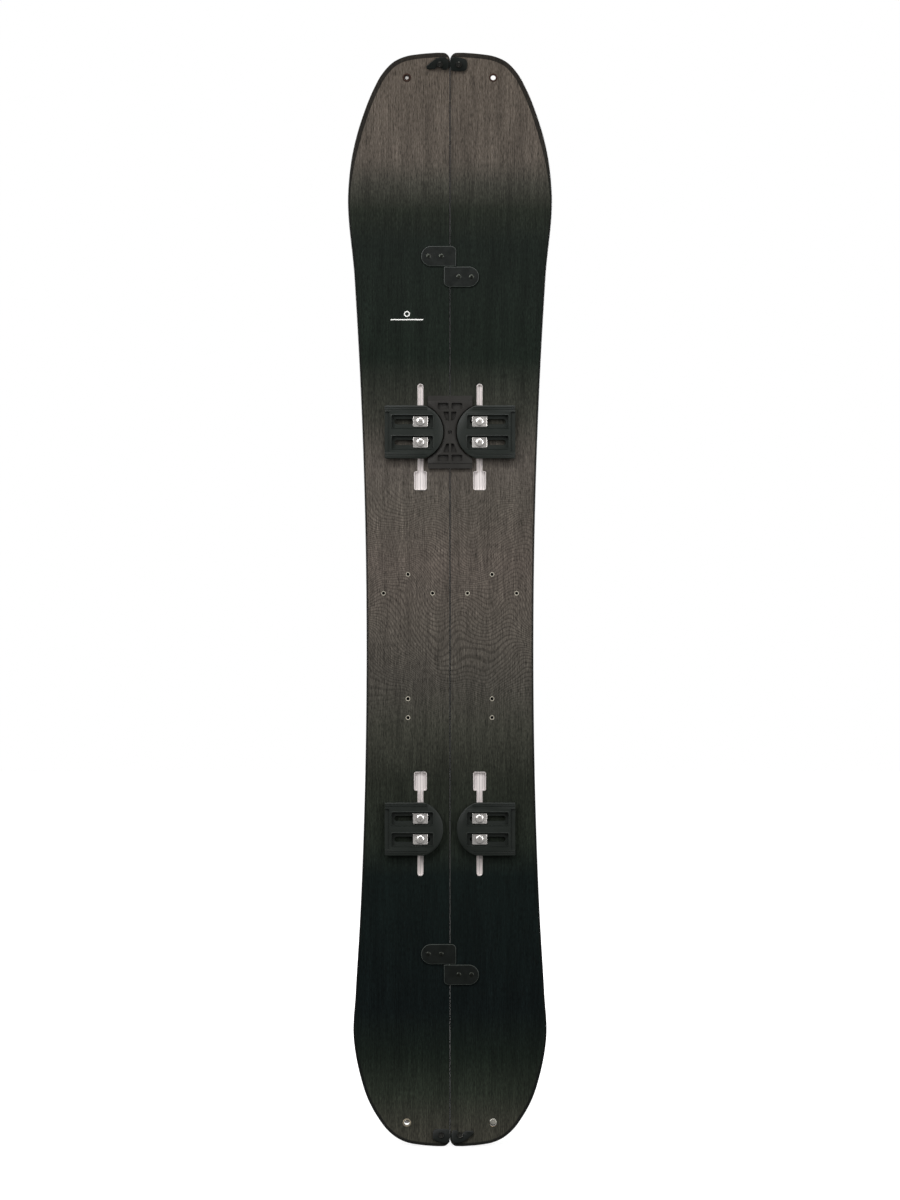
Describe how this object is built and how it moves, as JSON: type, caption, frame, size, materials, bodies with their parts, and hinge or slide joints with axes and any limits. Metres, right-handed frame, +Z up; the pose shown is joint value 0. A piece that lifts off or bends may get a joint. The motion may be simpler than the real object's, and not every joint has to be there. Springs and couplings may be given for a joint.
{
  "type": "splitboard",
  "caption": "Snowboard split lengthwise into two touring halves, joined by tip clips and seam hooks, with sliding binding pucks on tracks and a climbing skin.",
  "frame": {"origin": "centre of the lowest edge of the box round the whole board, which stands on its tail: on the seam plane, mid-depth, at the tail end", "axes": "+Z up along the board from tail to nose, +X across it towards the right half as seen from the topsheet, the topsheet faces -Y and the base +Y"},
  "size_m": [0.3036, 0.0496, 1.62],
  "materials": {
    "veneer": "satin stained veneer",
    "wood_core": "raw laminated wood",
    "sidewall": "satin",
    "base": "ground and waxed",
    "edge_steel": "ground",
    "track_metal": "bright",
    "bright_steel": "polished",
    "nylon": "moulded",
    "hook_plate": "black coated",
    "tip_metal": "dull",
    "eyelet": "dark bronze",
    "plush": "short-pile plush",
    "rubber": "moulded",
    "webbing": "ribbed"
  },
  "bodies": {
    "left_half": {"left_base": "base", "left_core": "wood_core", "left_topsheet": "veneer", "left_steel_edge": "edge_steel", "left_sidewall": "sidewall", "left_front_track": "track_metal", "left_rear_track": "track_metal", "left_nose_hook": "hook_plate", "left_tail_hook": "hook_plate", "left_nose_tip_plate": "tip_metal", "left_tail_tip_plate": "tip_metal", "left_nose_eyelet": "eyelet", "left_tail_eyelet": "eyelet", "nose_clip_lever_bolt": "bright_steel", "tail_clip_keeper": "hook_plate", "tail_clip_keeper_bolt": "bright_steel"},
    "right_half": {"right_base": "base", "right_core": "wood_core", "right_topsheet": "veneer", "right_steel_edge": "edge_steel", "right_sidewall": "sidewall", "right_front_track": "track_metal", "right_rear_track": "track_metal", "right_nose_hook": "hook_plate", "right_tail_hook": "hook_plate", "right_nose_tip_plate": "tip_metal", "right_tail_tip_plate": "tip_metal", "right_nose_eyelet": "eyelet", "right_tail_plug": "track_metal", "tail_clip_lever_bolt": "bright_steel", "nose_clip_keeper": "hook_plate", "nose_clip_keeper_bolt": "bright_steel"},
    "nose_lever": {"nose_clip_lever": "hook_plate"},
    "tail_lever": {"tail_clip_lever": "hook_plate"},
    "jig": {"puck_jig": "nylon"},
    "skin": {"climbing_skin": "plush", "skin_tip_connector": "rubber", "skin_tip_pin": "bright_steel", "skin_tail_strap": "webbing"},
    "skin_buckle": {"skin_tail_buckle": "bright_steel"},
    "left_front_screws": {"left_front_puck_washer_1": "bright_steel", "left_front_puck_washer_2": "bright_steel", "left_front_puck_screw_1": "bright_steel", "left_front_puck_screw_2": "bright_steel"},
    "left_front_puck": {"left_front_puck": "nylon"},
    "left_rear_screws": {"left_rear_puck_washer_1": "bright_steel", "left_rear_puck_washer_2": "bright_steel", "left_rear_puck_screw_1": "bright_steel", "left_rear_puck_screw_2": "bright_steel"},
    "left_rear_puck": {"left_rear_puck": "nylon"},
    "right_front_screws": {"right_front_puck_washer_1": "bright_steel", "right_front_puck_washer_2": "bright_steel", "right_front_puck_screw_1": "bright_steel", "right_front_puck_screw_2": "bright_steel"},
    "right_front_puck": {"right_front_puck": "nylon"},
    "right_rear_screws": {"right_rear_puck_washer_1": "bright_steel", "right_rear_puck_washer_2": "bright_steel", "right_rear_puck_screw_1": "bright_steel", "right_rear_puck_screw_2": "bright_steel"},
    "right_rear_puck": {"right_rear_puck": "nylon"}
  },
  "joints": [
    {"name": "split_halves", "type": "slide", "parent": "left_half", "child": "right_half", "axis": [1, 0, 0], "range_m": [0, 0.12]},
    {"name": "nose_clip_turn", "type": "hinge", "parent": "left_half", "child": "nose_lever", "pos_m": [-0.015, -0.01744, 1.603], "axis": [0, -0.96, -0.2802], "range_deg": [0, 95]},
    {"name": "tail_clip_turn", "type": "hinge", "parent": "right_half", "child": "tail_lever", "pos_m": [0.015, -0.00656, 0.0155], "axis": [0, -0.9703, 0.2418], "range_deg": [0, 95]},
    {"name": "left_front_stance", "type": "slide", "parent": "left_half", "child": "left_front_screws", "axis": [0, 0, 1], "range_m": [-0.035, 0.05]},
    {"name": "left_front_puck_centring", "type": "slide", "parent": "left_front_screws", "child": "left_front_puck", "axis": [-1, 0, 0], "range_m": [0, 0.007]},
    {"name": "right_front_stance", "type": "slide", "parent": "right_half", "child": "right_front_screws", "axis": [0, 0, 1], "range_m": [-0.035, 0.05]},
    {"name": "right_front_puck_centring", "type": "slide", "parent": "right_front_screws", "child": "right_front_puck", "axis": [1, 0, 0], "range_m": [0, 0.007]},
    {"name": "left_rear_stance", "type": "slide", "parent": "left_half", "child": "left_rear_screws", "axis": [0, 0, 1], "range_m": [-0.05, 0.035]},
    {"name": "left_rear_puck_centring", "type": "slide", "parent": "left_rear_screws", "child": "left_rear_puck", "axis": [-1, 0, 0], "range_m": [0, 0.007]},
    {"name": "right_rear_stance", "type": "slide", "parent": "right_half", "child": "right_rear_screws", "axis": [0, 0, 1], "range_m": [-0.05, 0.035]},
    {"name": "right_rear_puck_centring", "type": "slide", "parent": "right_rear_screws", "child": "right_rear_puck", "axis": [1, 0, 0], "range_m": [0, 0.007]},
    {"name": "jig_lift", "type": "slide", "parent": "left_front_screws", "child": "jig", "axis": [0, -1, 0], "range_m": [0, 0.04]},
    {"name": "skin_peel", "type": "slide", "parent": "left_half", "child": "skin", "axis": [0, 1, 0], "range_m": [0, 0.08]},
    {"name": "skin_buckle_swing", "type": "hinge", "parent": "skin", "child": "skin_buckle", "pos_m": [-0.064, 0.01157, 0.0635], "axis": [1, 0, 0], "range_deg": [0, 100]}
  ],
  "couplings": [
    {"joint": "right_front_stance", "follows": "left_front_stance", "ratio": 1},
    {"joint": "right_rear_stance", "follows": "left_rear_stance", "ratio": 1}
  ]
}
